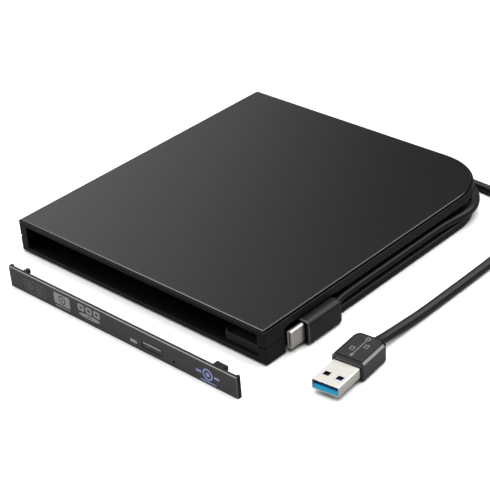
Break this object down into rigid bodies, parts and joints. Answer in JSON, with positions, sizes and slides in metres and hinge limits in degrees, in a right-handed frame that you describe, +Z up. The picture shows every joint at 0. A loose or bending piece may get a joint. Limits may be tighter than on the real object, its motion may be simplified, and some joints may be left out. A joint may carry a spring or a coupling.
{
  "type": "external optical drive enclosure",
  "caption": "Flat open-fronted case for a slim optical drive, with a brushed cover, loose drive bezel and two captive USB leads.",
  "frame": {"origin": "under the middle of the case's underside, at the height of the table that the feet stand on", "axes": "+Z up; +Y from the open front of the bay towards the back; +X to the right of someone who faces the open bay"},
  "size_m": [0.1777, 0.1824, 0.0159],
  "materials": {
    "shell_plastic": "fine matt moulding, near black",
    "plate_metal": "satin hairline, dark grey",
    "foot_rubber": "soft matt rubber",
    "screw_steel": "blackened steel",
    "board_green": "green solder mask",
    "chip_black": "moulded epoxy",
    "solder_tin": "tinned metal",
    "contact_gold": "gold-plated contacts",
    "clear_plastic": "pale translucent plastic",
    "plug_rubber": "soft-touch overmould, dark grey",
    "lead_jacket": "smooth black cable jacket",
    "plug_steel": "nickel-plated steel",
    "blue_plastic": "bright blue insulator",
    "bezel_plastic": "matt dark grey moulding"
  },
  "bodies": {
    "case": {"upper_shell": "shell_plastic", "lower_shell": "shell_plastic", "top_plate": "plate_metal", "drive_step": "shell_plastic", "foot_1": "foot_rubber", "foot_2": "foot_rubber", "foot_3": "foot_rubber", "foot_4": "foot_rubber", "case_screw_1": "screw_steel", "case_screw_2": "screw_steel", "case_screw_3": "screw_steel", "case_screw_4": "screw_steel", "bridge_board": "board_green", "board_screw_1": "solder_tin", "board_screw_2": "solder_tin", "sata_socket": "chip_black", "sata_data_tongue": "contact_gold", "sata_power_tongue": "contact_gold", "bridge_chip": "chip_black", "crystal": "solder_tin", "power_coil": "chip_black", "voltage_regulator": "chip_black", "capacitor_1": "clear_plastic", "capacitor_2": "clear_plastic", "capacitor_3": "clear_plastic", "lead_exit_block": "plug_rubber", "usb_c_board_socket": "clear_plastic", "usb_a_board_socket": "clear_plastic", "usb_c_inner_lead": "lead_jacket", "usb_a_inner_lead": "lead_jacket", "usb_c_lead": "lead_jacket", "usb_a_strain_relief": "plug_rubber", "usb_a_lead": "lead_jacket", "usb_a_overmould": "plug_rubber", "usb_a_shell": "plug_steel", "usb_a_insulator": "blue_plastic", "usb_a_contact_1": "contact_gold", "usb_a_contact_2": "contact_gold", "usb_a_contact_3": "contact_gold", "usb_a_contact_4": "contact_gold", "usb_a_fast_contact_1": "contact_gold", "usb_a_fast_contact_2": "contact_gold", "usb_a_fast_contact_3": "contact_gold", "usb_a_fast_contact_4": "contact_gold", "usb_a_fast_contact_5": "contact_gold"},
    "usb_c_plug": {"usb_c_lead_end": "lead_jacket", "usb_c_overmould": "plug_rubber", "usb_c_shell": "plug_steel", "usb_c_insulator": "chip_black"},
    "bezel": {"bezel_panel": "bezel_plastic", "lamp_window": "clear_plastic"},
    "eject_button": {"eject_button": "bezel_plastic"}
  },
  "joints": [
    {"name": "usb_c_plug_swing", "type": "hinge", "parent": "case", "child": "usb_c_plug", "pos_m": [0.0702, -0.011, 0.00585], "axis": [0, 0, 1], "range_deg": [0, 15]},
    {"name": "bezel_fit", "type": "slide", "parent": "case", "child": "bezel", "axis": [-0.4754, 0.8709, 0.1241], "range_m": [0, 0.02377]},
    {"name": "eject_button_press", "type": "slide", "parent": "bezel", "child": "eject_button", "axis": [0, 1, 0], "range_m": [0, 0.0008], "stiffness_N_per_m": 300, "springref_m": -0.0005}
  ]
}
